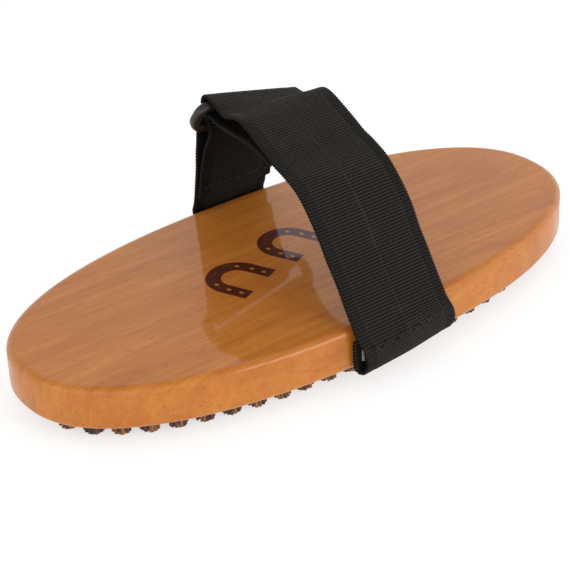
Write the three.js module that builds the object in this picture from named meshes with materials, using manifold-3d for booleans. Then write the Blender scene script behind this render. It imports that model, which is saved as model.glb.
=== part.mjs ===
// A horse grooming brush: an oval beech board set with short stiff tufts of plant fibre, and a hand strap
// of black webbing over the top. The strap's near end is folded back and stapled to the board's long side.
// From there it arches over the hand, turns round the upper bar of a plastic loop and ends in a free tail
// that lies under the arch. A shorter strap is stapled to the far side in the same way, turns over the
// loop's lower bar and is sewn back on itself.
//
// Millimetres. +X runs along the board, +Y across it towards the loop, +Z up. The origin is on the plane
// of the tuft tips, under the middle of the board.
import * as THREE from "three";
import { mergeVertices } from "three/addons/utils/BufferGeometryUtils.js";
import Module from "manifold-3d";

const wasm = await Module();
wasm.setup();

// ---- driving dimensions ----
const BOARD = { length: 215, width: 96.4, thickness: 15.1, roundness: 2.27, edge: 2.4, steps: 96 };
const TUFT = { length: 6, radius: 2.7, inWood: 6, sides: 6, tieWidth: 0.9, tieHeight: 0.7, perNode: 5 };
const RINGS = { count: 4, inset: 8.8, gap: 9.5, outerPitch: 8.8, pitch: 10, middleRow: 12 };
const WEB = { width: 38, farWidth: 31, thickness: 1.6, step: 1.7 };
const LOOP = { length: 47.4, height: 13.5, thickness: 3.6, slotLength: 40.6, slotHeight: 6.3, round: 0.8 };
const LOOP_CORNER = { outer: 5, slot: 1 };
// A staple's crown is pressed a little into the webbing. Its spread is a share of the strap's width.
const STAPLE = { crown: 6.2, wire: 0.8, leg: 5, height: 12.8, spread: 0.42, sunk: 0.8 };
const THREAD = { inset: 2, thickness: 0.5, across: 0.8 };
const GAP = 0.3; // left between neighbouring pieces
const SOCKET_GAP = 0.36; // between a tuft and its hexagonal hole
const STRAP_X = 5.6; // the strap sits a little off the board's middle
const STRAP_SKEW = 0.06; // and crosses it at a slight angle
const FAR_OFFSET = -3.2; // from the strap's middle line to the far strap's
const FAR_SLANT = 2.2; // the far strap's foot lies this much further to +X than its top
const FLAP_OFFSET = 1; // its sewn flap lies this much to +X of the layer under it
const LOOP_TILT = THREE.MathUtils.degToRad(13); // the loop hangs with its -X end high

// The loop's bars, as Y and Z of their middles, and the room between a bar and the webbing round it.
const UPPER_BAR = new THREE.Vector2(33.4, 62.8);
const LOWER_BAR = new THREE.Vector2(38.1, 54.1);
const BAR_GAP = 0.9;

// The folded hem. Its layer against the wood lies a little to -X, its outer layer starts further to +X and
// comes back to the middle line as it climbs, and the near hem rises towards +X.
const HEM = { inner: -0.4, outer: 2.2, above: -0.8, rise: 0.08, seam: 19.5 };
const LOOP_SEAM = 4.2; // from the far strap's free end

const HALF_WIDTH = BOARD.width / 2;
const BOARD_BOTTOM = TUFT.length;

// ---- finishes ----
const finish = (color, roughness, metalness = 0) =>
  new THREE.MeshStandardMaterial({ color, roughness, metalness });
const FINISH = {
  wood: finish(0xc78a52, 0.35),
  fibre: finish(0x7a5326, 0.8),
  webbing: finish(0x16150f, 0.85),
  thread: finish(0x1f1e1a, 0.7),
  plastic: finish(0x201b17, 0.3),
  steel: finish(0xcfd2d6, 0.2, 1),
};

// ---- solids: three.js geometry to and from manifold-3d ----
function solidOf(geometry) {
  const bare = geometry.clone();
  bare.deleteAttribute("normal");
  bare.deleteAttribute("uv");
  const merged = mergeVertices(bare, 1e-4);
  return new wasm.Manifold(
    new wasm.Mesh({
      numProp: 3,
      vertProperties: merged.attributes.position.array,
      triVerts: new Uint32Array(merged.index.array),
    }),
  );
}

function geometryOf(solid) {
  const mesh = solid.getMesh();
  const geometry = new THREE.BufferGeometry();
  geometry.setAttribute("position", new THREE.BufferAttribute(mesh.vertProperties, 3));
  geometry.setIndex(new THREE.BufferAttribute(mesh.triVerts, 1));
  geometry.computeVertexNormals();
  return geometry;
}

const group = new THREE.Group();

function add(name, geometry, material, parent = group) {
  const mesh = new THREE.Mesh(geometry, material);
  mesh.name = name;
  parent.add(mesh);
  return mesh;
}

// ---- board outline ----
// A point on an oval whose half axes are shorter than the board's by inset.
function ovalPoint(angle, inset) {
  const power = 2 / BOARD.roundness;
  const bent = (value) => Math.sign(value) * Math.abs(value) ** power;
  return new THREE.Vector2(
    (BOARD.length / 2 - inset) * bent(Math.cos(angle)),
    (HALF_WIDTH - inset) * bent(Math.sin(angle)),
  );
}

function ovalOutline(inset, steps) {
  return Array.from({ length: steps }, (_, i) => ovalPoint((2 * Math.PI * i) / steps, inset));
}

// Points at even spacing round the oval, as close to the pitch as a whole number allows.
function evenlyRound(inset, pitch) {
  const fine = ovalOutline(inset, 15 * BOARD.steps);
  const lengths = [0];
  fine.forEach((p, i) => lengths.push(lengths[i] + p.distanceTo(fine[(i + 1) % fine.length])));
  const total = lengths[fine.length];
  const count = Math.round(total / pitch);
  return Array.from({ length: count }, (_, i) => {
    const at = (total * (i + 0.5)) / count;
    return fine[lengths.findIndex((l) => l > at) - 1];
  });
}

const tuftRings = [];
for (let r = 0; r < RINGS.count; r++) {
  tuftRings.push(evenlyRound(RINGS.inset + r * RINGS.gap, r === 0 ? RINGS.outerPitch : RINGS.pitch));
}
// and a straight row along the middle
tuftRings.push(
  Array.from({ length: RINGS.middleRow }, (_, i) => {
    return new THREE.Vector2((i - (RINGS.middleRow - 1) / 2) * RINGS.pitch, 0);
  }),
);

// ---- staples ----
// Three to each long side, through the webbing's inner layer and into the wood, with upright crowns.
const strapCentreX = (y) => STRAP_X + STRAP_SKEW * y;

function staplesOf(side, prefix, width, offset) {
  const middle = strapCentreX(side * HALF_WIDTH) + offset;
  return [-1, 0, 1].map((i) => {
    return { side, name: `${prefix}_staple_${i + 2}`, x: middle + i * STAPLE.spread * width };
  });
}

const nearStaples = staplesOf(-1, "near", WEB.width, HEM.inner);
const farStaples = staplesOf(1, "far", WEB.farWidth, FAR_OFFSET + FAR_SLANT + HEM.inner);

// A staple pointing into the wood, its wire thicker than the real one by grow on every side.
function staple(place, grow = 0) {
  const wire = STAPLE.wire + 2 * grow;
  const outside = HALF_WIDTH + GAP + WEB.thickness + GAP - STAPLE.sunk;
  const reach = outside - HALF_WIDTH + STAPLE.wire + STAPLE.leg + grow;
  const box = (sizeY, sizeZ, y, z) => {
    const geometry = new THREE.BoxGeometry(wire, sizeY, sizeZ);
    return solidOf(geometry.translate(place.x, place.side * y, STAPLE.height + z));
  };
  const legs = [-1, 1].map((end) =>
    box(reach, wire, outside + STAPLE.wire - reach / 2, (end * (STAPLE.crown - STAPLE.wire)) / 2),
  );
  const crown = box(wire, STAPLE.crown + 2 * grow, outside + STAPLE.wire / 2, 0);
  return wasm.Manifold.union([crown, ...legs]);
}

// ---- board ----
function board() {
  const straight = BOARD.thickness - 2 * BOARD.edge;
  const slab = new THREE.ExtrudeGeometry(new THREE.Shape(ovalOutline(BOARD.edge, BOARD.steps)), {
    depth: straight,
    bevelThickness: BOARD.edge,
    bevelSize: BOARD.edge,
    bevelSegments: 3,
  });
  slab.translate(0, 0, BOARD_BOTTOM + BOARD.edge);
  const sockets = tuftRings.flat().map((p) => {
    const radius = TUFT.radius + SOCKET_GAP;
    const socket = new THREE.CylinderGeometry(radius, radius, 2 * (TUFT.inWood + GAP), TUFT.sides);
    return solidOf(socket.rotateX(Math.PI / 2).translate(p.x, p.y, BOARD_BOTTOM));
  });
  const holes = [...nearStaples, ...farStaples].map((place) => staple(place, GAP));
  const cuts = wasm.Manifold.union([...sockets, ...holes]);
  return geometryOf(solidOf(slab).subtract(cuts));
}

// ---- tufts ----
// Neighbouring tufts of one ring, tied by a thin thread of fibre at their roots so that they are one body.
function tuftArc(places) {
  const height = TUFT.length + TUFT.inWood;
  const tieMiddle = TUFT.length - 2 * GAP - TUFT.tieHeight / 2;
  const tufts = places.map((p) => {
    const tuft = new THREE.CylinderGeometry(TUFT.radius, TUFT.radius, height, TUFT.sides);
    return solidOf(tuft.rotateX(Math.PI / 2).translate(p.x, p.y, height / 2));
  });
  const ties = places.slice(1).map((p, i) => {
    const q = places[i];
    const tie = new THREE.BoxGeometry(p.distanceTo(q), TUFT.tieWidth, TUFT.tieHeight);
    tie.rotateZ(Math.atan2(p.y - q.y, p.x - q.x));
    return solidOf(tie.translate((p.x + q.x) / 2, (p.y + q.y) / 2, tieMiddle));
  });
  return geometryOf(wasm.Manifold.union([...tufts, ...ties]));
}

// ---- webbing paths ----
// A path is a list of points across the board: x of the Vector2 is the part's Y, and y is its Z.
function path(points) {
  const curve = new THREE.SplineCurve(points.map(([y, z]) => new THREE.Vector2(y, z)));
  return curve.getSpacedPoints(Math.round(curve.getLength() / WEB.step));
}

// The same path moved sideways, to the left of its direction for a positive distance.
function shifted(points, distance) {
  return points.map((p, i) => {
    const before = points[Math.max(i - 1, 0)];
    const after = points[Math.min(i + 1, points.length - 1)];
    const along = after.clone().sub(before).normalize();
    return new THREE.Vector2(p.x - along.y * distance, p.y + along.x * distance);
  });
}

// Points of a web's middle line on an arc about a bar, from one angle to another, in degrees from +Y to +Z.
function roundBar(bar, from, to, steps) {
  const radius = (LOOP.thickness + WEB.thickness) / 2 + BAR_GAP;
  return Array.from({ length: steps + 1 }, (_, i) => {
    const angle = THREE.MathUtils.degToRad(from + ((to - from) * i) / steps);
    return [bar.x + radius * Math.cos(angle), bar.y + radius * Math.sin(angle)];
  });
}

// Both straps start the same way: down the board's side wall, back up in a flat fold round the staples'
// crowns, and in over the board's upper edge.
const wallLeg = HALF_WIDTH + GAP + WEB.thickness / 2;
const hemPoints = (side) =>
  [
    [0, 17.6], [0, 13.2], [0, 10.4], [0.4, 8.5], [1.7, 7.4], [3.0, 8.5], [3.4, 10.6], [3.45, 13.0],
    [3.3, 15.4], [2.3, 17.9], [0.9, 20.4], [-0.6, 22.9],
  ].map(([out, z]) => [side * (wallLeg + out), z]);

const handPath = path(
  [
    ...hemPoints(-1),
    [-45.7, 26.3], [-40.4, 32.4], [-35.2, 38.7], [-30.7, 45.4], [-25.2, 51.5], [-18.4, 57.0], [-10.8, 60.0],
    [-5.6, 61.4], [0.5, 64.1], [7.3, 66.6], [13.0, 68.2], [18.0, 68.3], [24.5, 66.2], [29.2, 65.9],
    ...roundBar(UPPER_BAR, 92, -100, 8),
    [27.5, 59.3], [21.0, 61.5], [15.0, 62.8], [9.4, 63.0], [3.0, 62.0], [0, 61.2], [-3.0, 60.1],
  ],
);
const farPath = path(
  [
    ...hemPoints(1),
    [47.4, 27.0], [46.4, 31.5], [45.0, 36.5], [43.6, 41.8], [42.2, 46.3], [41.5, 50.3],
    ...roundBar(LOWER_BAR, -6, 186, 6),
    [35.6, 50.4], [37.9, 46.8], [40.4, 41.8], [42.4, 36.5], [43.9, 31.5], [44.9, 27.4],
  ],
);

// ---- webbing solids ----
const smooth = (low, high, value) => THREE.MathUtils.smoothstep(value, low, high);

// Skews a strap piece across the board, twists it to the loop's tilt where it nears the loop, and lets the
// near hem rise towards +X.
function lay(geometry) {
  const position = geometry.attributes.position;
  for (let i = 0; i < position.count; i++) {
    const [u, y, z] = [position.getX(i), position.getY(i), position.getZ(i)];
    const twist = smooth(15, 33, y) * smooth(26, 52, z) * Math.tan(LOOP_TILT);
    const rise = y < 0 ? HEM.rise * (1 - smooth(12, 24, z)) : 0;
    position.setXYZ(i, strapCentreX(y) + u, y, z + u * (rise - twist));
  }
  return geometry;
}

// How far a strap's points lie to one side of its middle line, at a distance along it from its stapled end.
function hemSide(run) {
  const fold = (HEM.outer - HEM.inner) * smooth(8, 14.5, run);
  const climb = (HEM.above - HEM.outer) * smooth(14.5, 27, run);
  return HEM.inner + fold + climb - HEM.above * smooth(27, 45, run);
}

function farSide(run) {
  const slant = FAR_SLANT * (1 - smooth(20, 55, run));
  return FAR_OFFSET + hemSide(run) + slant + FLAP_OFFSET * smooth(62, 76, run);
}

// A flat web of the given width that follows a path: four corners at each point, joined by quads.
function web(points, thickness, width, sideways = () => 0) {
  const faces = [shifted(points, thickness / 2), shifted(points, -thickness / 2)];
  const corners = [[0, -1], [0, 1], [1, 1], [1, -1]];
  const positions = points.flatMap((_, i) =>
    corners.flatMap(([face, edge]) => {
      const across = (edge * width) / 2 + sideways(i * WEB.step);
      return [across, faces[face][i].x, faces[face][i].y];
    }),
  );
  const end = 4 * (points.length - 1);
  const index = [3, 2, 1, 3, 1, 0, end, end + 1, end + 2, end, end + 2, end + 3];
  for (let i = 0; i < end; i += 4) {
    for (let k = 0; k < 4; k++) {
      const [a, b] = [i + k, i + ((k + 1) % 4)];
      index.push(a, b, b + 4, a, b + 4, a + 4);
    }
  }
  const flat = new THREE.BufferGeometry();
  flat.setAttribute("position", new THREE.Float32BufferAttribute(positions, 3));
  flat.setIndex(index);
  flat.computeVertexNormals();
  return lay(flat);
}

// A row of stitches across a web, lying on the side given by offset, at a distance along its path.
function seam(points, distance, offset, width, sideways) {
  const curve = new THREE.SplineCurve(points);
  const share = (d) => curve.getPointAt(d / curve.getLength());
  const short = [share(distance - THREAD.across / 2), share(distance + THREAD.across / 2)];
  const aside = sideways(distance);
  return web(shifted(short, offset), THREAD.thickness, width - 2 * THREAD.inset, () => aside);
}
const onWeb = WEB.thickness / 2 + GAP + THREAD.thickness / 2;

// A strap with the holes of its staples.
function strap(points, staples, width, sideways) {
  const holes = staples.map((place) => staple(place, GAP));
  const whole = solidOf(web(points, WEB.thickness, width, sideways));
  return geometryOf(whole.subtract(wasm.Manifold.union(holes)));
}

// ---- plastic loop ----
function roundedRectangle(target, length, height, radius) {
  const [x, y] = [length / 2, height / 2];
  target.moveTo(-x + radius, -y);
  target.lineTo(x - radius, -y).absarc(x - radius, -y + radius, radius, -Math.PI / 2, 0);
  target.lineTo(x, y - radius).absarc(x - radius, y - radius, radius, 0, Math.PI / 2);
  target.lineTo(-x + radius, y).absarc(-x + radius, y - radius, radius, Math.PI / 2, Math.PI);
  target.lineTo(-x, -y + radius).absarc(-x + radius, -y + radius, radius, Math.PI, 1.5 * Math.PI);
  return target;
}

function plasticLoop() {
  const shape = roundedRectangle(new THREE.Shape(), LOOP.length, LOOP.height, LOOP_CORNER.outer);
  const slot = roundedRectangle(new THREE.Path(), LOOP.slotLength, LOOP.slotHeight, LOOP_CORNER.slot);
  shape.holes.push(slot);
  return new THREE.ExtrudeGeometry(shape, {
    depth: LOOP.thickness - 2 * LOOP.round,
    bevelThickness: LOOP.round,
    bevelSize: LOOP.round,
    bevelOffset: -LOOP.round,
    bevelSegments: 2,
    curveSegments: 5,
  }).translate(0, 0, LOOP.round - LOOP.thickness / 2);
}

// ---- assembly ----
add("board", board(), FINISH.wood);

tuftRings.forEach((ring, r) => {
  const arcs = Math.round(ring.length / TUFT.perNode);
  for (let a = 0; a < arcs; a++) {
    const [first, next] = [a, a + 1].map((k) => Math.round((k * ring.length) / arcs));
    const name = `tufts_ring${r + 1}_${String(a + 1).padStart(2, "0")}`;
    add(name, tuftArc(ring.slice(first, next)), FINISH.fibre);
  }
});

for (const place of [...nearStaples, ...farStaples]) {
  add(place.name, geometryOf(staple(place)), FINISH.steel);
}

add("hand_strap", strap(handPath, nearStaples, WEB.width, hemSide), FINISH.webbing);
add("far_strap", strap(farPath, farStaples, WEB.farWidth, farSide), FINISH.webbing);

const farLength = new THREE.SplineCurve(farPath).getLength();
add("near_seam", seam(handPath, HEM.seam, onWeb, WEB.width, hemSide), FINISH.thread);
add("far_seam", seam(farPath, HEM.seam, -onWeb, WEB.farWidth, farSide), FINISH.thread);
add("far_loop_seam", seam(farPath, farLength - LOOP_SEAM, -onWeb, WEB.farWidth, farSide), FINISH.thread);

const lean = Math.atan2(UPPER_BAR.x - LOWER_BAR.x, UPPER_BAR.y - LOWER_BAR.y);
const loopCentre = UPPER_BAR.clone().add(LOWER_BAR).divideScalar(2);
const hanger = new THREE.Group();
hanger.position.set(strapCentreX(loopCentre.x), loopCentre.x, loopCentre.y);
hanger.rotation.y = LOOP_TILT;
group.add(hanger);
add("slide_loop", plasticLoop(), FINISH.plastic, hanger).rotation.x = Math.PI / 2 - lean;

export default group;
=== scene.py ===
# %% [markdown]
# # An oval horse brush with a webbing strap
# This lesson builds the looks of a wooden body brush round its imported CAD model. The board is lacquered
# beech, the bristles are short tufts of coarse plant fibre, and the hand strap is black nylon webbing that
# a plastic loop adjusts. Everything is in metres, in the CAD model's frame: +X along the board, +Y across
# it towards the loop, +Z up, and the tips of the bristles stand on z = 0.

import math

import bpy
import numpy as np
from mathutils import Matrix, Vector


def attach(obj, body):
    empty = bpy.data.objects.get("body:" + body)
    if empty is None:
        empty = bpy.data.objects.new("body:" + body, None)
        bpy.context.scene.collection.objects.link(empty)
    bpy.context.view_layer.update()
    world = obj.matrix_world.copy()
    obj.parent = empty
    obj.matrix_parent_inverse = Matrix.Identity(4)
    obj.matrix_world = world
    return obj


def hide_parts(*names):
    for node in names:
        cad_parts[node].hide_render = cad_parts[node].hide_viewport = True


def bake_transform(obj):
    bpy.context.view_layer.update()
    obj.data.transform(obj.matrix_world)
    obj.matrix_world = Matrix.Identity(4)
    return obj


MM = 0.001
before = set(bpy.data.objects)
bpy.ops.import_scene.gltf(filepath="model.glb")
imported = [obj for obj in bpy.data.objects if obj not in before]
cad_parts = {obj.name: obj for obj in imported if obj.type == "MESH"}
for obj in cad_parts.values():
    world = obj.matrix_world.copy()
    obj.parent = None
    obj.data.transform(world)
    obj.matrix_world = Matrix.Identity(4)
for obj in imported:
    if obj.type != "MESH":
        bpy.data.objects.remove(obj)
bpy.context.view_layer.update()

# %% [markdown]
# ## Nodes as sentences
# Materials and Geometry Nodes are both trees of nodes. One small class makes any node from its type, its
# settings and its inputs. A second one wraps a number's socket, so that sums are written as ordinary
# Python, and each operator adds its Math node.


# %% A tree of nodes, and numbers that flow through it
class Flow:
    """A number that flows out of a socket. Sums and comparisons on it add Math nodes."""

    def __init__(self, tree, socket):
        self.tree, self.socket = tree, socket

    def math(self, operation, *others):
        return self.tree.math(operation, self, *others)

    def __add__(self, other):
        return self.math("ADD", other)

    def __sub__(self, other):
        return self.math("SUBTRACT", other)

    def __rsub__(self, other):
        return self.tree.math("SUBTRACT", other, self)

    def __mul__(self, other):
        return self.math("MULTIPLY", other)

    def __truediv__(self, other):
        return self.math("DIVIDE", other)

    def __rtruediv__(self, other):
        return self.tree.math("DIVIDE", other, self)

    def __neg__(self):
        return self.math("MULTIPLY", -1)

    def __abs__(self):
        return self.math("ABSOLUTE")

    def __pow__(self, other):
        return self.math("POWER", other)

    __radd__, __rmul__ = __add__, __mul__

    def clamped(self, low, high):
        return self.math("MAXIMUM", low).math("MINIMUM", high)

    def step(self, low, high):
        """0 below low and 1 above high, and smooth between. With low above high it falls instead."""
        name = {"interpolation_type": "SMOOTHSTEP"}
        ends = {"From Min": min(low, high), "From Max": max(low, high)}
        made = self.tree.node("ShaderNodeMapRange", name, {"Value": self, **ends})["Result"]
        return made if low < high else 1 - made


class Outputs:
    """The outputs of a node, by name or place."""

    def __init__(self, tree, node):
        self.tree, self.node = tree, node

    def __getitem__(self, key):
        if isinstance(key, str):
            socket = next(s for s in self.node.outputs if s.name == key and s.enabled)
        else:
            socket = self.node.outputs[key]
        return Flow(self.tree, socket) if socket.type == "VALUE" else socket


class Tree:
    def __init__(self, tree):
        self.tree = tree

    def node(self, kind, settings=None, inputs=None):
        """A node of that type. Settings come first, because they decide which sockets it has."""
        node = self.tree.nodes.new(kind)
        for key, value in (settings or {}).items():
            if key == "stops":
                self.colour_stops(node.color_ramp, value)
            else:
                setattr(node, key, value)
        for key, value in (inputs or {}).items():
            if isinstance(key, str):
                socket = next(s for s in node.inputs if s.name == key and s.enabled)
            else:
                socket = node.inputs[key]
            self.feed(socket, value)
        return Outputs(self, node)

    def feed(self, socket, value):
        if isinstance(value, Flow):
            value = value.socket
        if isinstance(value, Outputs):
            value = value.node.outputs[0]
        if isinstance(value, bpy.types.NodeSocket):
            self.tree.links.new(value, socket)
        else:
            socket.default_value = value

    def colour_stops(self, ramp, stops):
        while len(ramp.elements) < len(stops):
            ramp.elements.new(0.5)
        for element, (place, colour) in zip(ramp.elements, stops):
            element.position = place
            element.color = (*colour, 1)

    def math(self, operation, *values):
        return self.node("ShaderNodeMath", {"operation": operation}, dict(enumerate(values)))["Value"]


def colour(red, green, blue):
    """A colour as it is read off a screen, 0 to 255, as the linear numbers that a shader wants."""
    parts = [v / 255 for v in (red, green, blue)]
    return tuple(((v + 0.055) / 1.055) ** 2.4 if v > 0.04 else v / 12.92 for v in parts)


# %% [markdown]
# ## Camera and studio
# The brush is seen from above its left end, from a little over half a metre away and with a long lens, so
# its far side hardly shrinks. The camera's axes are worked out from two angles and a roll, which can be
# changed one at a time, where a matrix typed in could not.

# %% Camera
VIEW = {"azimuth": -36.65, "elevation": 29.8, "roll": -1.93, "distance": 0.633, "lens": 119.75}
VIEW_AIM = Vector((0, 0, 0.02113))
TURN_LEFT, TURN_DOWN = 0.00765, 0.01593  # how far it looks past the aim, as parts of the distance


def make_camera():
    a, e, roll = (math.radians(VIEW[k]) for k in ("azimuth", "elevation", "roll"))
    back = Vector((math.sin(a) * math.cos(e), -math.cos(a) * math.cos(e), math.sin(e)))
    right = back.cross(Vector((0, 0, 1))).normalized() * -1
    up = back.cross(right)
    right, up = math.cos(roll) * right + math.sin(roll) * up, math.cos(roll) * up - math.sin(roll) * right
    place = VIEW_AIM + back * VIEW["distance"]
    back = (back + right * TURN_LEFT + up * TURN_DOWN).normalized()
    right = up.cross(back).normalized()
    camera = bpy.data.objects.new("camera", bpy.data.cameras.new("camera"))
    camera.matrix_world = Matrix((right, back.cross(right), back)).transposed().to_4x4()
    camera.location = place
    camera.data.lens, camera.data.sensor_width = VIEW["lens"], 36
    bpy.context.scene.collection.objects.link(camera)
    bpy.context.scene.camera = camera
    return camera


camera = make_camera()
print("camera at", [round(v, 3) for v in camera.location])

# %% [markdown]
# The brush stands on a white table in a white room. The floor glows a little, like a table lit from below,
# which keeps the shadow faint. The sky is brightest low down, because light from the sides reaches the wood
# under the strap. Two large soft lamps draw the rounded rim and the ribs of the strap, and no lamp is small
# enough to leave a hard spot in the lacquer.

# %% Floor, sky and lamps
FLOOR_SIZE, FLOOR_GREY, FLOOR_GLOW, FLOOR_DROP = 12.0, 0.45, 0.62, 0.0002
SKY_TOP, SKY_SIDES, SKY_LEAN = 0.55, 0.95, 0.12


def area_lamp(name, place, size, power, towards=(0, 0, 0.03)):
    lamp = bpy.data.objects.new(name, bpy.data.lights.new(name, "AREA"))
    lamp.data.shape, lamp.data.size, lamp.data.energy = "DISK", size, power
    lamp.location = place
    lamp.rotation_euler = (Vector(towards) - Vector(place)).to_track_quat("-Z", "Y").to_euler()
    bpy.context.scene.collection.objects.link(lamp)
    return lamp


def make_floor():
    mesh = bpy.data.meshes.new("floor")
    half = FLOOR_SIZE / 2
    corners = [(x * half, y * half, -FLOOR_DROP) for x, y in ((-1, -1), (1, -1), (1, 1), (-1, 1))]
    mesh.from_pydata(corners, [], [(0, 1, 2, 3)])
    floor = bpy.data.objects.new("floor", mesh)
    bpy.context.scene.collection.objects.link(floor)
    material = bpy.data.materials.new("floor_paper")
    material.use_nodes = True
    shader = material.node_tree.nodes["Principled BSDF"]
    shader.inputs["Base Color"].default_value = (FLOOR_GREY, FLOOR_GREY, FLOOR_GREY, 1)
    shader.inputs["Roughness"].default_value = 0.9
    shader.inputs["Specular IOR Level"].default_value = 0.1
    shader.inputs["Emission Color"].default_value = (1, 1, 1, 1)
    shader.inputs["Emission Strength"].default_value = FLOOR_GLOW
    mesh.materials.append(material)


make_floor()
world = bpy.data.worlds.new("studio")
world.use_nodes = True
world.node_tree.nodes.clear()
sky = Tree(world.node_tree)
way = sky.node("ShaderNodeSeparateXYZ", {}, {0: sky.node("ShaderNodeTexCoord")["Generated"]})
glow = way["Z"].step(0.95, 0.20) * SKY_SIDES + way["X"] * SKY_LEAN + SKY_TOP
background = sky.node("ShaderNodeBackground", {}, {"Color": (1, 1, 1, 1), "Strength": glow})
sky.node("ShaderNodeOutputWorld", {}, {"Surface": background["Background"]})
bpy.context.scene.world = world
bpy.context.scene.view_settings.view_transform = "Standard"
area_lamp("left", (-1.0, -0.45, 0.5), 1.8, 5)
area_lamp("front", (0.45, -1.2, 0.5), 0.8, 6)
print("floor", FLOOR_SIZE, "m square,", len(bpy.data.lights), "lamps")

# %% [markdown]
# ## Finished meshes
# Every piece is a plain mesh with its place in its points. A piece that moves with one CAD body is given to
# that body; the straps and the stitches that close the far strap round the loop are not. A closed mesh whose
# volume comes out below zero has its faces inside out, so the volume is the test that they face outwards.
# Every material ends in one Principled shader, which any renderer understands.


# %% Helpers for finished pieces
def make_piece(name, points, faces, material, smooth=True):
    mesh = bpy.data.meshes.new(name)
    mesh.from_pydata([tuple(p) for p in points], [], [tuple(f) for f in faces])
    mesh.polygons.foreach_set("use_smooth", [smooth] * len(mesh.polygons))
    mesh.materials.append(material)
    mesh.update()
    piece = bpy.data.objects.new(name, mesh)
    bpy.context.scene.collection.objects.link(piece)
    return piece


def volume(piece):
    """The volume inside a piece's faces, in cubic metres. It is below zero if they face inwards."""
    mesh = piece.data
    mesh.calc_loop_triangles()
    corners = np.array([mesh.vertices[i].co for t in mesh.loop_triangles for i in t.vertices])
    a, b, c = corners.reshape(-1, 3, 3).transpose(1, 0, 2)
    return float(np.einsum("ij,ij->i", a, np.cross(b, c)).sum() / 6)


def new_material(name):
    material = bpy.data.materials.new(name)
    material.use_nodes = True
    material.node_tree.nodes.clear()
    return material, Tree(material.node_tree)


def finish_material(tree, fixed, varying):
    """Ends a material in one shader, from the inputs that are fixed and those that vary over the surface."""
    shader = tree.node("ShaderNodeBsdfPrincipled", {}, {**fixed, **varying})
    tree.node("ShaderNodeOutputMaterial", {}, {"Surface": shader["BSDF"]})


def bumped(tree, height, strength, distance):
    """A normal that tilts as if the height, times a distance in millimetres, stood on the surface."""
    inputs = {"Strength": strength, "Distance": distance * MM, "Height": height}
    return tree.node("ShaderNodeBump", {}, inputs)["Normal"]


# %% [markdown]
# ## Beech
# Beech is a pale pinkish wood, which clear lacquer turns to warm amber. Its grain runs along the board:
# broad soft bands, fine fibres, and many short dark flecks like grains of rice. Noise stretched along X
# makes the bands and fibres, and a stretched Voronoi pattern scatters the flecks. A picture of wood would
# be quicker, but it would have a seam at the rim, where noise in space runs on down the side as real grain
# does. The lacquer is the shader's coat, which mirrors the white room and the dark strap.

# %% Beech material
WOOD_DARK, WOOD_MID, WOOD_PALE = colour(160, 90, 30), colour(173, 104, 38), colour(186, 118, 49)
INK = colour(58, 18, 12)
MARKS = [(-25.0, 1.5, 24.0), (2.0, 9.5, 24.0)]  # x, y in mm and the turn in degrees of each horseshoe
SHOE_RADIUS, SHOE_HALF_BAND, SHOE_HEEL = 7.6, 2.6, -9.3
NAIL_HOLES = ((7.4, -6.2), (7.5, -1.6), (6.6, 3.6))
PRINTED_ABOVE = 21.0  # mm, just under the board's top


def stretched(tree, scale):
    """Object coordinates in millimetres, times a scale on each axis."""
    inputs = {"Vector": tree.node("ShaderNodeTexCoord")["Object"], "Scale": [s / MM for s in scale]}
    return tree.node("ShaderNodeMapping", {}, inputs)["Vector"]


def cells(tree, scale):
    """A Voronoi pattern: the distance from the middle of each cell, and a colour for each cell."""
    return tree.node("ShaderNodeTexVoronoi", {}, {"Vector": stretched(tree, scale), "Scale": 1.0})


def noise(tree, scale, detail=2.0, roughness=0.5, distortion=0.0):
    inputs = {"Vector": stretched(tree, scale), "Scale": 1.0, "Detail": detail}
    inputs.update({"Roughness": roughness, "Distortion": distortion})
    return tree.node("ShaderNodeTexNoise", {"noise_dimensions": "3D"}, inputs)[0]


def mixed(tree, factor, first, second, blend="MIX"):
    inputs = {0: factor, 6: first, 7: second}
    for key in (6, 7):
        if isinstance(inputs[key], tuple):
            inputs[key] = (*inputs[key], 1)
    return tree.node("ShaderNodeMix", {"data_type": "RGBA", "blend_type": blend}, inputs).node.outputs[2]


def horseshoe(tree, x, y):
    """1 inside a printed horseshoe that opens towards -Y, from millimetres about its middle."""
    side = abs(x)
    length = (side * side + y.math("MAXIMUM", 0) ** 2).math("SQRT")
    band = abs(length - SHOE_RADIUS).step(SHOE_HALF_BAND + 0.15, SHOE_HALF_BAND - 0.15)
    body = band * y.step(SHOE_HEEL - 0.1, SHOE_HEEL + 0.1)
    for hx, hy in NAIL_HOLES:
        hole = ((side - hx) ** 2 + ((y - hy) * 0.7) ** 2).math("SQRT")
        body = body * hole.step(0.45, 0.7)
    return body


def printed_mark(tree):
    """The ink on the board's top: a row of plain horseshoes."""
    where = tree.node("ShaderNodeSeparateXYZ", {}, {0: tree.node("ShaderNodeTexCoord")["Object"]})
    ink = 0
    for cx, cy, turn in MARKS:
        x, y = where["X"] / MM - cx, where["Y"] / MM - cy
        c, s = math.cos(math.radians(turn)), math.sin(math.radians(turn))
        ink = horseshoe(tree, x * c + y * s, y * c - x * s) + ink
    return ink * where["Z"].step((PRINTED_ABOVE - 0.1) * MM, PRINTED_ABOVE * MM)


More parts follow.
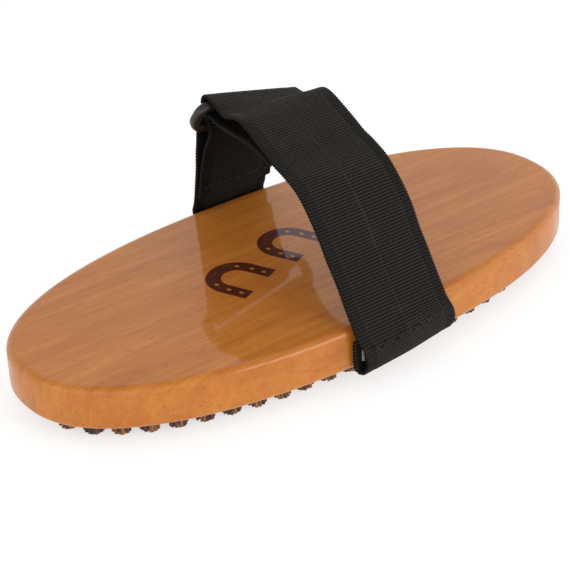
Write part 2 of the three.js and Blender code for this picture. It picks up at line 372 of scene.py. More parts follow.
def beech():
    material, tree = new_material("lacquered_beech")
    bands = noise(tree, (0.016, 0.12, 0.05), 3, 0.55, 0.6)
    fibres = noise(tree, (0.09, 1.9, 0.4), 4, 0.6)
    streaks = noise(tree, (0.03, 0.5, 0.08), 3, 0.55)
    tone = bands * 0.55 + streaks * 0.45 + (fibres - 0.5) * 0.42
    stops = [(0.30, WOOD_DARK), (0.50, WOOD_MID), (0.70, WOOD_PALE)]
    wood = tree.node("ShaderNodeValToRGB", {"stops": stops}, {"Fac": tone}).node.outputs[0]
    grains = cells(tree, (0.24, 1.0, 1.0))
    chance = tree.node("ShaderNodeSeparateColor", {}, {0: grains.node.outputs["Color"]})[0]
    flecks = grains["Distance"].step(0.34, 0.12) * chance.step(0.15, 0.55) * streaks.step(0.30, 0.55)
    wood = mixed(tree, flecks * 0.5, wood, colour(122, 62, 24))
    pores = cells(tree, (0.045, 0.045, 0.045))
    wood = mixed(tree, pores["Distance"].step(0.020, 0.010) * 0.6, wood, colour(60, 32, 20))
    ink = printed_mark(tree)
    worn = noise(tree, (0.25, 0.25, 0.25), 3, 0.6)
    ink_colour = mixed(tree, worn.step(0.45, 0.75) * 0.45, INK, colour(98, 46, 20))
    wood = mixed(tree, ink * 0.96, wood, ink_colour)
    height = fibres * 0.5 + noise(tree, (0.03, 0.05, 0.05), 1) * 2.0 - flecks * 0.3
    normal = bumped(tree, height, 0.10, 0.4)
    fixed = {"Specular IOR Level": 0.05, "Coat Weight": 0.55, "Coat Roughness": 0.06, "Coat IOR": 1.5}
    finish_material(tree, fixed, {"Base Color": wood, "Roughness": fibres * 0.2 + 0.38, "Normal": normal})
    return material


lacquered_beech = beech()
print("beech has", len(lacquered_beech.node_tree.nodes), "nodes")

# %% [markdown]
# ## The board
# The board is one piece of wood, cut to an oval and rounded over along both edges. The outline is a
# superellipse, a touch squarer than an ellipse. An extruded outline with a Bevel would do, but its corner
# loops bunch up at the ends. Here rings of evenly spaced points step inwards along a quarter circle, so the
# rounding is the same all the way round. One extra ring just inside each flat face keeps the smooth shading
# from spilling across it.

# %% Board
BOARD = {"length": 215, "width": 96.4, "thickness": 15.1, "roundness": 2.27, "edge": 2.4, "bottom": 6.0}
FLAT_RING = 0.6  # mm from the rounding to the extra ring


def oval(inset, steps):
    """Points in millimetres on an oval whose half axes are shorter than the board's by inset."""
    angle = 2 * np.pi * np.arange(steps) / steps
    power = 2 / BOARD["roundness"]
    bent = [np.sign(v) * np.abs(v) ** power for v in (np.cos(angle), np.sin(angle))]
    half = [BOARD["length"] / 2 - inset, BOARD["width"] / 2 - inset]
    return np.stack([half[0] * bent[0], half[1] * bent[1]], axis=1)


def evenly(points, count):
    """Points at even spacing round a closed line."""
    closed = np.vstack([points, points[:1]])
    run = np.r_[0, np.cumsum(np.linalg.norm(np.diff(closed, axis=0), axis=1))]
    wanted = run[-1] * np.arange(count) / count
    return np.stack([np.interp(wanted, run, closed[:, k]) for k in (0, 1)], axis=1)


def make_board(steps=420):
    edge, low, high = BOARD["edge"], BOARD["bottom"], BOARD["bottom"] + BOARD["thickness"]
    turn = np.radians(np.linspace(0, 90, 8))
    rounding = [(edge * (1 - math.sin(t)), low + edge * (1 - math.cos(t))) for t in turn]
    below = [(edge + FLAT_RING, low)] + rounding
    profile = below + [(inset, high + low - z) for inset, z in reversed(below)]
    outline = evenly(oval(0, 4000), steps)
    ahead, behind = np.roll(outline, -1, axis=0), np.roll(outline, 1, axis=0)
    along = (ahead - behind) / np.linalg.norm(ahead - behind, axis=1)[:, None]
    inward = np.stack([-along[:, 1], along[:, 0]], axis=1)
    rings = [np.c_[outline + inward * inset, np.full(steps, z)] for inset, z in profile]
    faces = [tuple(range(steps))[::-1], tuple(range((len(rings) - 1) * steps, len(rings) * steps))]
    for r in range(len(rings) - 1):
        for i in range(steps):
            a, b = r * steps + i, r * steps + (i + 1) % steps
            faces.append((a, b, b + steps, a + steps))
    return make_piece("beech_board", np.vstack(rings) * MM, faces, lacquered_beech)


board = make_board()
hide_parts("board")
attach(board, "brush")
print("board volume", round(volume(board) * 1e6, 1), "cm3")

# %% [markdown]
# ## Bristle tufts
# Each tuft is a bundle of coarse fibres, pinned into a drilled hole and trimmed to a low dome. The holes run
# round the board in rings. Hair would suit long bristles, but it isn't a mesh and these are short and thick,
# so Geometry Nodes are used: a disc at every hole is filled with evenly scattered points, and every point
# gets a slightly tapered fibre that leans a little its own way.

# %% Fibre material
def plant_fibre():
    material, tree = new_material("plant_fibre")
    shade = tree.node("ShaderNodeAttribute", {"attribute_name": "shade"})["Fac"]
    grain = noise(tree, (2.5, 2.5, 0.5), 2)
    height = tree.node("ShaderNodeSeparateXYZ", {}, {0: tree.node("ShaderNodeTexCoord")["Object"]})["Z"]
    tone = shade * 0.6 + grain * 0.3
    stops = [(0.10, colour(34, 20, 10)), (0.50, colour(92, 57, 27)), (0.95, colour(158, 108, 58))]
    base = tree.node("ShaderNodeValToRGB", {"stops": stops}, {"Fac": tone}).node.outputs[0]
    tip = height.step(1.4 * MM, 0.2 * MM) * 0.35
    base = mixed(tree, tip, base, colour(176, 128, 76))
    normal = bumped(tree, grain, 0.4, 0.1)
    finish_material(tree, {"Roughness": 0.62}, {"Base Color": base, "Normal": normal})
    return material


fibre_material = plant_fibre()
print("fibre has", len(fibre_material.node_tree.nodes), "nodes")

# %% Where the tufts stand
TUFT = {"radius": 3.0, "length": 7.2, "outer_pitch": 8.8, "pitch": 10, "inset": 8.8, "ring_gap": 9.5}
RINGS, MIDDLE_ROW = 4, 12


def ring_of_tufts(inset):
    pitch = TUFT["outer_pitch"] if inset == TUFT["inset"] else TUFT["pitch"]
    fine = oval(inset, 1440)
    closed = np.vstack([fine, fine[:1]])
    run = np.r_[0, np.cumsum(np.linalg.norm(np.diff(closed, axis=0), axis=1))]
    count = round(run[-1] / pitch)
    return np.array([fine[np.argmax(run > run[-1] * (i + 0.5) / count) - 1] for i in range(count)])


rings = [ring_of_tufts(TUFT["inset"] + k * TUFT["ring_gap"]) for k in range(RINGS)]
rings.append(np.array([[(i - (MIDDLE_ROW - 1) / 2) * TUFT["pitch"], 0] for i in range(MIDDLE_ROW)]))
print("tufts in each ring", [len(r) for r in rings])


# %% Geometry Nodes: a fibre on every point of every tuft
FIBRE = {"radius": 0.58, "spacing": 0.80, "taper": 0.92, "dome": 0.14, "lean": 0.025}


def socket_of(group, name, kind, default):
    made = group.interface.new_socket(name, in_out="INPUT", socket_type=kind)
    made.default_value = default
    return made


def tuft_nodes():
    group = bpy.data.node_groups.new("tufts", "GeometryNodeTree")
    group.interface.new_socket("Geometry", in_out="INPUT", socket_type="NodeSocketGeometry")
    sizes = {"Tuft Radius": TUFT["radius"], "Fibre Radius": FIBRE["radius"]}
    sizes.update({"Fibre Length": TUFT["length"], "Spacing": FIBRE["spacing"]})
    for name, size in sizes.items():
        socket_of(group, name, "NodeSocketFloat", size * MM)
    socket_of(group, "Dome", "NodeSocketFloat", FIBRE["dome"])
    socket_of(group, "Seed", "NodeSocketInt", 3)
    group.interface.new_socket("Geometry", in_out="OUTPUT", socket_type="NodeSocketGeometry")
    tree = Tree(group)
    given = tree.node("NodeGroupInput")
    where = tree.node("GeometryNodeInputPosition")["Position"]
    marked = tree.node("GeometryNodeStoreNamedAttribute", {"data_type": "FLOAT_VECTOR", "domain": "POINT"},
                       {"Geometry": given["Geometry"], "Name": "middle", "Value": where})
    disc = tree.node("GeometryNodeMeshCircle", {"fill_type": "NGON"},
                     {"Vertices": 12, "Radius": given["Tuft Radius"]})
    discs = tree.node("GeometryNodeInstanceOnPoints", {},
                      {"Points": marked["Geometry"], "Instance": disc["Mesh"]})
    flat = tree.node("GeometryNodeRealizeInstances", {}, {"Geometry": discs["Instances"]})
    scattered = tree.node("GeometryNodeDistributePointsOnFaces", {"distribute_method": "POISSON"},
                          {"Mesh": flat["Geometry"], "Distance Min": given["Spacing"], "Density Max": 6e6,
                           "Seed": given["Seed"]})
    tilt = FIBRE["lean"]
    lean = tree.node("FunctionNodeRandomValue", {"data_type": "FLOAT_VECTOR"},
                     {0: (-tilt, -tilt, -1), 1: (tilt, tilt, -1), "Seed": 11})
    aim = tree.node("FunctionNodeAlignRotationToVector", {"axis": "Z"}, {"Vector": lean.node.outputs[0]})
    thinner = given["Fibre Radius"] * FIBRE["taper"]
    fibre = tree.node("GeometryNodeMeshCone", {"fill_type": "NGON"},
                      {"Vertices": 6, "Side Segments": 2, "Radius Top": thinner,
                       "Radius Bottom": given["Fibre Radius"], "Depth": given["Fibre Length"]})
    tall = tree.node("FunctionNodeRandomValue", {"data_type": "FLOAT_VECTOR"},
                     {0: (0.8, 0.8, 0.96), 1: (1.15, 1.15, 0.995), "Seed": 12})
    middle = tree.node("GeometryNodeInputNamedAttribute", {"data_type": "FLOAT_VECTOR"}, {"Name": "middle"})
    away = tree.node("ShaderNodeVectorMath", {"operation": "SUBTRACT"}, {0: where, 1: middle["Attribute"]})
    from_middle = tree.node("ShaderNodeVectorMath", {"operation": "LENGTH"}, {0: away["Vector"]})["Value"]
    trimmed = 1 - given["Dome"] * (from_middle / given["Tuft Radius"]) ** 3
    cut = tree.node("ShaderNodeCombineXYZ", {}, {0: 1.0, 1: 1.0, 2: trimmed})
    scale = tree.node("ShaderNodeVectorMath", {"operation": "MULTIPLY"},
                      {0: tall.node.outputs[0], 1: cut["Vector"]})
    fibres = tree.node("GeometryNodeInstanceOnPoints", {},
                       {"Points": scattered["Points"], "Instance": fibre["Mesh"],
                        "Rotation": aim["Rotation"], "Scale": scale["Vector"]})
    shade = tree.node("FunctionNodeRandomValue", {"data_type": "FLOAT"}, {"Seed": 13})
    shaded = tree.node("GeometryNodeStoreNamedAttribute", {"data_type": "FLOAT", "domain": "INSTANCE"},
                       {"Geometry": fibres["Instances"], "Name": "shade", "Value": shade.node.outputs[1]})
    whole = tree.node("GeometryNodeRealizeInstances", {}, {"Geometry": shaded["Geometry"]})
    painted = tree.node("GeometryNodeSetMaterial", {},
                        {"Geometry": whole["Geometry"], "Material": fibre_material})
    tree.node("NodeGroupOutput", {}, {"Geometry": painted["Geometry"]})
    return group


bristle_group = tuft_nodes()
print("bristle inputs", [item.name for item in bristle_group.interface.items_tree])


# %% From loose points to a plain mesh
def grown(name, points, group, material, sizes=None, attributes=None):
    """A plain mesh from a Geometry Nodes group run on loose points, in metres."""
    seed_mesh = bpy.data.meshes.new(name + "_places")
    seed_mesh.from_pydata([tuple(p) for p in points], [], [])
    for key, values in (attributes or {}).items():
        made = seed_mesh.attributes.new(key, "FLOAT_VECTOR", "POINT")
        made.data.foreach_set("vector", np.asarray(values, np.float32).ravel())
    places = bpy.data.objects.new(name + "_places", seed_mesh)
    bpy.context.scene.collection.objects.link(places)
    modifier = places.modifiers.new("nodes", "NODES")
    modifier.node_group = group
    for item in group.interface.items_tree:
        if item.item_type == "SOCKET" and item.in_out == "INPUT" and item.name in (sizes or {}):
            modifier[item.identifier] = sizes[item.name]
    graph = bpy.context.evaluated_depsgraph_get()
    mesh = bpy.data.meshes.new_from_object(places.evaluated_get(graph))
    bpy.data.objects.remove(places)
    mesh.name = name
    if not mesh.materials:
        mesh.materials.append(material)
    piece = bpy.data.objects.new(name, mesh)
    bpy.context.scene.collection.objects.link(piece)
    return piece


# %% Grow the bristles ring by ring
for number, ring in enumerate(rings, start=1):
    roots = np.c_[ring, np.full(len(ring), TUFT["length"])] * MM
    sizes = {"Tuft Radius": TUFT["radius"] * MM, "Fibre Length": TUFT["length"] * MM, "Seed": number}
    bristles = grown(f"bristles_ring{number}", roots, bristle_group, fibre_material, sizes)
    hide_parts(*[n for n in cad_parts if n.startswith(f"tufts_ring{number}_")])
    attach(bristles, "brush")
    lowest = min(v.co.z for v in bristles.data.vertices)
    print(bristles.name, len(bristles.data.polygons), "faces, tips at", round(lowest / MM, 2), "mm")

# %% [markdown]
# ## Webbing
# The strap is ribbed nylon webbing, 38 mm wide and 1.6 mm thick. Thick weft threads cross it about once a
# millimetre, and thin warp threads run along it over and under them. Every thread could be a mesh, at a cost
# of millions of faces. Here the ribs are real geometry, so that they catch the light and scallop the edges,
# and the finer warp is colour and bump on the webbing's own UV map, which holds millimetres in from the
# nearer edge and along; the colour also holds painted shade in the pits between threads and a faint painted
# highlight where they cross. A plain band with a raised cord runs along each edge, as on real webbing.

# %% Webbing material
WEFT, WARP = 1.05, 0.95  # pitches in mm
EDGE_BAND, EDGE_CORD = 4.5, 0.9  # mm in from the edge, to the band's inner side and to its cord


def woven_nylon(name, painted_lightness):
    material, tree = new_material(name)
    uv = tree.node("ShaderNodeUVMap", {"uv_map": "weave"})["UV"]
    where = tree.node("ShaderNodeSeparateXYZ", {}, {0: uv})
    across, along = where["X"], where["Y"]
    rib = (along * (2 * math.pi / WEFT)).math("COSINE") * 0.5 + 0.5
    strand = (across * (2 * math.pi / WARP)).math("COSINE") * 0.5 + 0.5
    edge = across.step(EDGE_BAND + 0.3, EDGE_BAND - 0.3)
    line = abs(across - EDGE_BAND).step(0.50, 0.15) + abs(across - EDGE_CORD).step(0.30, 0.10) * 0.5
    # Painted shade and highlight: the pits between the ribs and between the warp strands are coloured
    # darker, as shade would fall there, and the tops where strands cross the ribs a little lighter, as a
    # painted highlight. The same pattern also sets the bump and the roughness.
    groove_shade = (1 - rib) * (strand * 0.8 + 0.2)
    weave = (1 - groove_shade) * (1 - edge * 0.30) + strand * rib * 0.10
    fuzz = noise(tree, (0.9, 0.9, 0.9), 3, 0.7)
    worn = noise(tree, (0.07, 0.07, 0.07), 3, 0.6).step(0.40, 0.80)
    # The last factor scales the whole tone: below 1 it makes a copy in painted shade.
    tone = (weave * 1.35 + line * 0.35 + worn * 0.12 + (fuzz - 0.5) * 0.45 - 0.60).clamped(0, 1) * painted_lightness
    base = mixed(tree, tone, colour(2, 2, 1), colour(45, 39, 32))
    varying = {"Base Color": base, "Roughness": 0.70 - weave * 0.18}
    varying["Normal"] = bumped(tree, weave + fuzz * 0.3, 0.9, 0.3)
    finish_material(tree, {"Specular IOR Level": 0.13}, varying)
    return material


hand_material = woven_nylon("woven_nylon", 1.0)
# The far strap gets the same webbing at half the tone: painted shade for its inner face, which turns away
# from the lamps.
far_shaded_material = woven_nylon("woven_nylon_far_shaded", 0.5)
print("webbing has", len(hand_material.node_tree.nodes), "nodes")

# %% [markdown]
# ## The straps' lines
# One strap comes over the hand and one short one holds the loop from the far side. Each starts in a flat
# fold on the board's side. Their middle lines are drawn across the board, as Y and Z in millimetres, and are
# the same lines as in the CAD model. Cloth would find its own lines, but these have to keep to the CAD
# model's, so a smooth curve runs through chosen points. Near the plastic loop the webbing twists to the
# loop's tilt.

# %% Lines of the straps
WEB_WIDTH, WEB_THICKNESS, GAP = 38.0, 1.6, 0.3
FAR_WIDTH, FAR_OFFSET, FAR_SLANT, FLAP_OFFSET = 31.0, -3.2, 2.2, 1.0
HEM = {"inner": -0.4, "outer": 2.2, "above": -0.8, "rise": 0.08, "seam": 19.5}
HEM_RUNS = {"fold": (8, 14.5), "climb": (14.5, 27), "settle": (27, 45)}  # mm along a strap
STRAP_X, STRAP_SKEW, LOOP_TILT = 5.6, 0.06, math.radians(13)
UPPER_BAR, LOWER_BAR, BAR_HALF, BAR_GAP = (33.4, 62.8), (38.1, 54.1), 1.8, 0.9
WALL = BOARD["width"] / 2 + GAP + WEB_THICKNESS / 2


def round_bar(bar, start, end, steps):
    radius = BAR_HALF + BAR_GAP + WEB_THICKNESS / 2
    turns = np.radians(np.linspace(start, end, steps + 1))
    return [(bar[0] + radius * math.cos(t), bar[1] + radius * math.sin(t)) for t in turns]


def hem(side):
    fold = [(0, 17.6), (0, 13.2), (0, 10.4), (0.4, 8.5), (1.7, 7.4), (3.0, 8.5), (3.4, 10.6), (3.45, 13.0)]
    fold += [(3.3, 15.4), (2.3, 17.9), (0.9, 20.4), (-0.6, 22.9)]
    return [(side * (WALL + out), z) for out, z in fold]


HAND_LINE = hem(-1)
HAND_LINE += [(-45.7, 26.3), (-40.4, 32.4), (-35.2, 38.7), (-30.7, 45.4), (-25.2, 51.5), (-18.4, 57.0)]
HAND_LINE += [(-10.8, 60.0), (-5.6, 61.4), (0.5, 64.1), (7.3, 66.6), (13.0, 68.2), (18.0, 68.3)]
HAND_LINE += [(24.5, 66.2), (29.2, 65.9), *round_bar(UPPER_BAR, 92, -100, 8)]
HAND_LINE += [(27.5, 59.3), (21.0, 61.5), (15.0, 62.8), (9.4, 63.0), (3.0, 62.0), (0, 61.2), (-3.0, 60.1)]
FAR_LINE = hem(1)
FAR_LINE += [(47.4, 27.0), (46.4, 31.5), (45.0, 36.5), (43.6, 41.8), (42.2, 46.3), (41.5, 50.3)]
FAR_LINE += round_bar(LOWER_BAR, -6, 186, 6)
FAR_LINE += [(35.6, 50.4), (37.9, 46.8), (40.4, 41.8), (42.4, 36.5), (43.9, 31.5), (44.9, 27.4)]


def curve_through(points, step):
    """A Catmull-Rom curve through the points, as places about one step apart along it."""
    known = np.array(points)
    ends = np.vstack([known[:1], known, known[-1:]])
    fine = []
    for i in range(len(known) - 1):
        p0, p1, p2, p3 = ends[i : i + 4]
        t = np.linspace(0, 1, 120, endpoint=i == len(known) - 2)[:, None]
        v0, v1 = (p2 - p0) / 2, (p3 - p1) / 2
        cubic, square = 2 * p1 - 2 * p2 + v0 + v1, 3 * p2 - 3 * p1 - 2 * v0 - v1
        fine.append(cubic * t**3 + square * t**2 + v0 * t + p1)
    fine = np.vstack(fine)
    run = np.r_[0, np.cumsum(np.linalg.norm(np.diff(fine, axis=0), axis=1))]
    wanted = np.linspace(0, run[-1], round(run[-1] / step) + 1)
    return np.stack([np.interp(wanted, run, fine[:, k]) for k in (0, 1)], axis=1), wanted


def smoothstep(low, high, value):
    t = np.clip((np.asarray(value) - low) / (high - low), 0, 1)
    return t * t * (3 - 2 * t)


def laid(u, y, z):
    """Places on the brush, in mm, of webbing points that are u across the strap."""
    u, y, z = np.broadcast_arrays(u, y, z)
    twist = smoothstep(15, 33, y) * smoothstep(26, 52, z) * math.tan(LOOP_TILT)
    rise = np.where(y < 0, HEM["rise"] * (1 - smoothstep(12, 24, z)), 0)
    return np.stack([STRAP_X + STRAP_SKEW * y + u, y, z + u * (rise - twist)], axis=-1)


for title, drawn in (("hand", HAND_LINE), ("far", FAR_LINE)):
    print(title, "strap is", round(curve_through(drawn, 1)[1][-1]), "mm long")

# %% [markdown]
# ## The straps' laid shape
# Webbing never lies quite straight. The fold's outer layer slips sideways over its inner one, the near fold
# is pressed in at one end, and one edge buckles where the strap starts to twist. Noise would displace it
# anywhere, so each of these is its own small formula of the place on the strap.

# %% How the webbing strays from its line
BUCKLES = ((1.2, 107, 6), (-0.9, 118, 5))  # height, and place and half length along the strap, all in mm
PRESS = {"share": 0.42, "across": (-2, 16), "height": (16, 23)}
FAR_SLANT_RUN, FLAP_RUN = (20, 55), (62, 76)


def hem_side(run):
    """How far to +X a strap lies. The hem's inner layer lies to -X, and its outer one to +X."""
    fold = (HEM["outer"] - HEM["inner"]) * smoothstep(*HEM_RUNS["fold"], run)
    climb = (HEM["above"] - HEM["outer"]) * smoothstep(*HEM_RUNS["climb"], run)
    return HEM["inner"] + fold + climb - HEM["above"] * smoothstep(*HEM_RUNS["settle"], run)


def far_side(run):
    """The same for the far strap, which stands off to one side, slants, and ends in a flap beside itself."""
    slant = FAR_SLANT * (1 - smoothstep(*FAR_SLANT_RUN, run))
    return FAR_OFFSET + hem_side(run) + slant + FLAP_OFFSET * smoothstep(*FLAP_RUN, run)


def buckle(run):
    """The slack in the hand strap's -X edge, where it starts to turn towards the loop."""
    return sum(high * np.exp(-(((run - place) / half) ** 2)) for high, place, half in BUCKLES)


def pressed(y, z, u):
    """How far the near fold is pressed in towards the board, which is most at its +X end."""
    out = np.clip(-WALL - y, 0, None)
    return PRESS["share"] * out * smoothstep(*PRESS["across"], u) * (1 - smoothstep(*PRESS["height"], z))


for distance in (0, 12, 107, 118):
    aside, raised = float(hem_side(distance)), float(buckle(distance))
    print(distance, "mm along: sideways", round(aside, 2), "buckled", round(raised, 2))

# %% [markdown]
# ## The straps' meshes
# A strap's mesh is a closed loop of points round its cross-section, swept along the line in steps of a
# quarter of a rib. A curve with a bevel object would sweep a plain strip in one step, but it can't vary it.
# Here each rib swells the faces a little and pushes the woven edge out, as the weft thread does where it
# turns back.

# %% Sweep a strap
RIB_HEIGHT, SCALLOP = 0.28, 0.16  # mm
UNDER_FACE = 0.08  # mm from the CAD model's face down to the ribs' middle height
EDGE_ROUND, POINTS_PER_MM, EDGE_STEPS = 0.9, 0.8, 7
GROOVE_DEPTH, GROOVE_HALF = 0.10, 0.35


def section(width):
    """u across the strap and the side it faces, from 1 above to -1 below, round the cross-section."""
    end = width / 2 - EDGE_ROUND - 0.05
    flat = np.linspace(-end, end, round(width * POINTS_PER_MM))
    cap = np.radians(np.linspace(67.5, -67.5, EDGE_STEPS))
    right = [(end + EDGE_ROUND * math.cos(t), math.sin(t)) for t in cap]
    top = [(u, 1.0) for u in flat]
    bottom = [(u, -1.0) for u in flat[::-1]]
    left = [(-x, -s) for x, s in right]
    return np.array(top + right + bottom + left)


def woven_points(path, run, cross, width, sideways, slack):
    """The places of a strap's points, one row for each step along its line, in mm."""
    run = run[:, None]
    path_y, path_z = path[:, :1], path[:, 1:]
    ahead = np.gradient(path, axis=0)
    ahead /= np.linalg.norm(ahead, axis=1)[:, None]
    u, side = cross[:, 0], cross[:, 1]
    from_edge = width / 2 - np.abs(u)
    rib = np.cos(2 * np.pi * run / WEFT)
    flatter = 1 - 0.6 * smoothstep(EDGE_BAND + 0.1, EDGE_BAND - 0.5, from_edge)
    groove = GROOVE_DEPTH * np.exp(-(((from_edge - EDGE_BAND - 0.1) / GROOVE_HALF) ** 2))
    lift = side * (WEB_THICKNESS / 2 - UNDER_FACE + RIB_HEIGHT / 2 * rib * flatter - groove)
    wander = 0.11 * np.sin(run / 9.3 + 1.3) + 0.065 * np.sin(run / 4.1)
    scallop = SCALLOP * rib * smoothstep(1.6, 0.5, from_edge)
    wide = u + (scallop + wander) * np.sign(u) + sideways(run)
    y = path_y + pressed(path_y, path_z, u) - ahead[:, 1:] * lift
    z = path_z + ahead[:, :1] * lift + slack(run) * smoothstep(0, 1, -2 * u / width)
    return laid(wide, y, z)


def strap(name, line, node, width, sideways, slack, material):
    path, run = curve_through(line, WEFT / 4)
    cross = section(width)
    points = woven_points(path, run, cross, width, sideways, slack).reshape(-1, 3) * MM
    rows, count = len(path), len(cross)
    faces = [tuple(range(count)), tuple(range((rows - 1) * count, rows * count))[::-1]]
    for r in range(rows - 1):
        for i in range(count):
            a, b = r * count + i, r * count + (i + 1) % count
            faces.append((b, a, a + count, b + count))
    piece = make_piece(name, points, faces, material)
    weave = piece.data.uv_layers.new(name="weave")
    corners = np.array([v for f in faces for v in f])
    coords = np.stack([width / 2 - np.abs(cross[corners % count, 0]), run[corners // count]], axis=1)
    weave.data.foreach_set("uv", coords.astype(np.float32).ravel())
    if volume(piece) < 0:
        piece.data.flip_normals()
    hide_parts(node)
    print(name, len(piece.data.polygons), "faces, volume", round(volume(piece) * 1e6, 2), "cm3")
    return piece


# %% Both straps, which bend from the board to the loop
hand_strap = strap("hand_webbing", HAND_LINE, "hand_strap", WEB_WIDTH, hem_side, buckle, hand_material)
far_strap = strap("far_webbing", FAR_LINE, "far_strap", FAR_WIDTH, far_side, np.zeros_like, far_shaded_material)
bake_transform(hand_strap)
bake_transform(far_strap)

# %% [markdown]
# ## Stitches
# Each fold is closed by a row of large stitches in thick bonded thread. They could be drawn in the webbing's
# material, but real ones stand proud of it. A stitch is a tiny roll of thread whose ends dive into the
# webbing, and Geometry Nodes set one on each point, turned to lie along the seam.

# %% Thread material
def sewing_thread():
    material, tree = new_material("sewing_thread")
    where = tree.node("ShaderNodeSeparateXYZ", {}, {0: tree.node("ShaderNodeTexCoord")["Object"]})
    # The twist of the plies bumps the thread, and its ridges are coloured lighter than the black thread: a
    # painted highlight.
    ply_and_highlight = ((where["X"] + where["Z"]) * (2 * math.pi / (0.45 * MM))).math("SINE") * 0.5 + 0.5
    base = mixed(tree, ply_and_highlight, colour(5, 5, 4), colour(34, 31, 26))
    fixed = {"Roughness": 0.6, "Specular IOR Level": 0.2}
    finish_material(tree, fixed, {"Base Color": base, "Normal": bumped(tree, ply_and_highlight, 0.5, 0.1)})
    return material


thread_material = sewing_thread()
print("thread has", len(thread_material.node_tree.nodes), "nodes")

# %% Geometry Nodes: a stitch on each point
STITCH = {"length": 3.9, "thickness": 0.85}


def stitch_nodes():
    group = bpy.data.node_groups.new("stitches", "GeometryNodeTree")
    group.interface.new_socket("Geometry", in_out="INPUT", socket_type="NodeSocketGeometry")
    socket_of(group, "Length", "NodeSocketFloat", STITCH["length"] * MM)
    socket_of(group, "Thickness", "NodeSocketFloat", STITCH["thickness"] * MM)
    group.interface.new_socket("Geometry", in_out="OUTPUT", socket_type="NodeSocketGeometry")
    tree = Tree(group)
    given = tree.node("NodeGroupInput")
    ball = tree.node("GeometryNodeMeshUVSphere", {}, {"Segments": 10, "Rings": 8, "Radius": 0.5})
    size = tree.node("ShaderNodeCombineXYZ", {},
                     {0: given["Length"], 1: given["Thickness"], 2: given["Thickness"]})
    roll = tree.node("GeometryNodeTransform", {}, {"Geometry": ball["Mesh"], "Scale": size["Vector"]})
    along = tree.node("GeometryNodeInputNamedAttribute", {"data_type": "FLOAT_VECTOR"}, {"Name": "along"})
    out = tree.node("GeometryNodeInputNamedAttribute", {"data_type": "FLOAT_VECTOR"}, {"Name": "out"})
    first = tree.node("FunctionNodeAlignRotationToVector", {"axis": "X"}, {"Vector": along["Attribute"]})
    aim = tree.node("FunctionNodeAlignRotationToVector", {"axis": "Z", "pivot_axis": "X"},
                    {"Rotation": first["Rotation"], "Vector": out["Attribute"]})
    placed = tree.node("GeometryNodeInstanceOnPoints", {},
                       {"Points": given["Geometry"], "Instance": roll["Geometry"],
                        "Rotation": aim["Rotation"]})
    whole = tree.node("GeometryNodeRealizeInstances", {}, {"Geometry": placed["Instances"]})
    smooth = tree.node("GeometryNodeSetShadeSmooth", {}, {0: whole["Geometry"]})
    painted = tree.node("GeometryNodeSetMaterial", {},
                        {"Geometry": smooth["Geometry"], "Material": thread_material})
    tree.node("NodeGroupOutput", {}, {"Geometry": painted["Geometry"]})
    return group


stitch_group = stitch_nodes()
print("stitch inputs", [item.name for item in stitch_group.interface.items_tree])

# %% Sew the three seams
SEAM_MARGIN, LOOP_SEAM, PROUD = 3.5, 4.2, 0.02  # mm
FOLD_STITCHES, LOOP_STITCHES = (3.1, 0.9), (4.0, 0.1)  # spacing in mm, and how far each leans


def seam(name, line, distance, side, node, width, sideways, stitches):
    """A row of stitches across a strap, at a distance in mm along its line, on one of its faces. Each one
    leans the other way from the one before."""
    spacing, zigzag = stitches
    path, run = curve_through(line, 0.25)
    i = int(np.argmin(np.abs(run - distance)))
    ahead = (path[i + 1] - path[i - 1]) / np.linalg.norm(path[i + 1] - path[i - 1])
    normal = np.array([-ahead[1], ahead[0]]) * side
    centre = path[i] + normal * (WEB_THICKNESS / 2 + PROUD)
    count = int((width - 2 * SEAM_MARGIN) // spacing)
    across = (np.arange(count + 1) - count / 2) * spacing + sideways(distance)
    jitter = 0.22 * np.sin(np.arange(len(across)) * 2.4)
    inwards = pressed(centre[0], centre[1], across - sideways(distance))
    points = laid(across, centre[0] + inwards + ahead[0] * jitter, centre[1] + ahead[1] * jitter)
    ends = laid(np.array([1.0, -1.0]), centre[0], centre[1])
    way = (ends[0] - ends[1]) / np.linalg.norm(ends[0] - ends[1])
    lean = np.where(np.arange(len(across)) % 2, zigzag, -zigzag)[:, None] * np.array([0, *ahead])
    attributes = {"along": way + lean, "out": np.tile([0, *normal], (len(points), 1))}
    made = grown(name, points * MM, stitch_group, thread_material, {}, attributes)
    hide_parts(node)
    print(name, len(points), "stitches")
    return made


far_end = curve_through(FAR_LINE, 0.25)[1][-1] - LOOP_SEAM
far_cloth = (FAR_WIDTH, far_side)
near = seam("near_stitches", HAND_LINE, HEM["seam"], 1, "near_seam", WEB_WIDTH, hem_side, FOLD_STITCHES)
far = seam("far_stitches", FAR_LINE, HEM["seam"], -1, "far_seam", *far_cloth, FOLD_STITCHES)
closing = seam("loop_stitches", FAR_LINE, far_end, -1, "far_loop_seam", *far_cloth, LOOP_STITCHES)
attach(near, "brush")
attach(far, "brush")
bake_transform(closing)

# %% [markdown]
# ## The plastic loop
# The adjuster is a moulded loop with two bars and rounded ends, with rougher streaky scuffs scattered over
# it.
# Four joined cylinders would show their joints. So it is drawn flat as an outline with a slot and given its
# thickness, and a Bevel modifier rounds its corners, as the mould's edges are.

# %% Plastic material
def moulded_plastic():
    material, tree = new_material("moulded_plastic")
    cloud = noise(tree, (0.12, 0.12, 0.12), 3)
    scuffs = noise(tree, (0.5, 3.0, 0.5), 3).step(0.6, 0.75)
    base = mixed(tree, cloud, colour(18, 15, 13), colour(40, 33, 27))
    varying = {"Base Color": base, "Roughness": scuffs * 0.18 + 0.30}
    varying["Normal"] = bumped(tree, cloud + scuffs * 0.3, 0.08, 0.3)
    finish_material(tree, {"Specular IOR Level": 0.4}, varying)
    return material


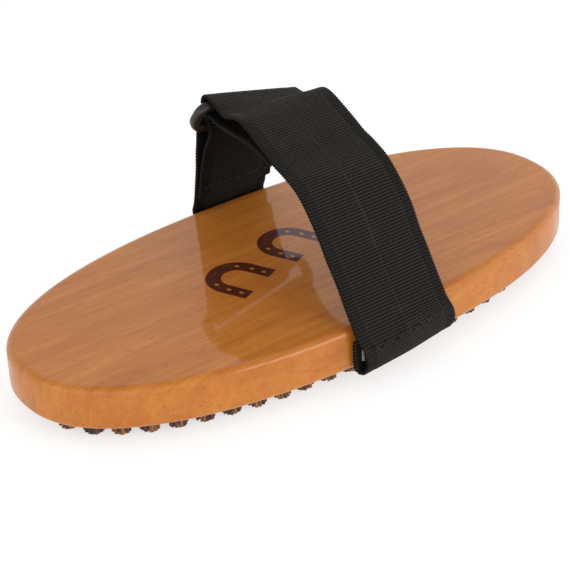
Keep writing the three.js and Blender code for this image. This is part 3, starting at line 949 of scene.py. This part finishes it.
plastic_material = moulded_plastic()
print("plastic has", len(plastic_material.node_tree.nodes), "nodes")

# %% Loop
LOOP = {"length": 47.4, "height": 13.5, "thickness": 3.6, "slot": (40.6, 6.3), "round": 1.3}
LOOP_CORNER, SLOT_CORNER, CORNER_STEPS = 5.6, 1.0, 12


def rounded_box(length, height, radius):
    """Points round a rectangle with round corners, in mm, the same number for any size."""
    x, y, points = length / 2 - radius, height / 2 - radius, []
    for k, (sx, sy) in enumerate(((1, -1), (1, 1), (-1, 1), (-1, -1))):
        turns = np.radians(np.linspace(-90, 0, CORNER_STEPS) + 90 * k)
        points += [(sx * x + radius * math.cos(t), sy * y + radius * math.sin(t)) for t in turns]
    return np.array(points)


def make_loop():
    outer = rounded_box(LOOP["length"], LOOP["height"], LOOP_CORNER)
    inner = rounded_box(*LOOP["slot"], SLOT_CORNER)
    count, half = len(outer), LOOP["thickness"] / 2
    edges = ((outer, -half), (outer, half), (inner, half), (inner, -half))
    layers = [np.c_[ring, np.full(count, z)] for ring, z in edges]
    faces = []
    for k in range(4):
        for i in range(count):
            j, a, b = (i + 1) % count, k * count, ((k + 1) % 4) * count
            faces.append((a + i, a + j, b + j, b + i))
    lean = math.atan2(UPPER_BAR[0] - LOWER_BAR[0], UPPER_BAR[1] - LOWER_BAR[1])
    middle = np.mean([UPPER_BAR, LOWER_BAR], axis=0)
    place = Matrix.Translation((STRAP_X + STRAP_SKEW * middle[0], *middle))
    place = place @ Matrix.Rotation(LOOP_TILT, 4, "Y") @ Matrix.Rotation(math.pi / 2 - lean, 4, "X")
    points = [(place @ Vector(p)) * MM for p in np.vstack(layers)]
    piece = make_piece("adjuster_loop", points, faces, plastic_material)
    if volume(piece) < 0:
        piece.data.flip_normals()
    bevel = piece.modifiers.new("edges", "BEVEL")
    bevel.width, bevel.segments = LOOP["round"] * MM, 4
    bevel.limit_method, bevel.angle_limit = "ANGLE", 0.9
    return piece


loop = make_loop()
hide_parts("slide_loop")
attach(loop, "adjuster")
print("loop volume", round(volume(loop) * 1e6, 2), "cm3")

# %% [markdown]
# ## Staples
# Each strap's inner layer is held to the wood by three wire staples. They could be swept again as finer
# wires, but their CAD solids have the right shape already and hardly show, so they only get a finish of
# drawn steel, streaked across by the die.

# %% Steel for the staples
def drawn_steel():
    material, tree = new_material("drawn_steel")
    drawn = noise(tree, (1.2, 6.0, 6.0), 3)
    base = mixed(tree, drawn, colour(190, 190, 192), colour(238, 238, 240))
    finish_material(tree, {"Metallic": 0.6}, {"Base Color": base, "Roughness": drawn * 0.25 + 0.25})
    return material


steel = drawn_steel()
for node_name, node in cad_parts.items():
    if "staple" in node_name:
        node.data.materials.clear()
        node.data.materials.append(steel)
print(sum("staple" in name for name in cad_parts), "staples finished")
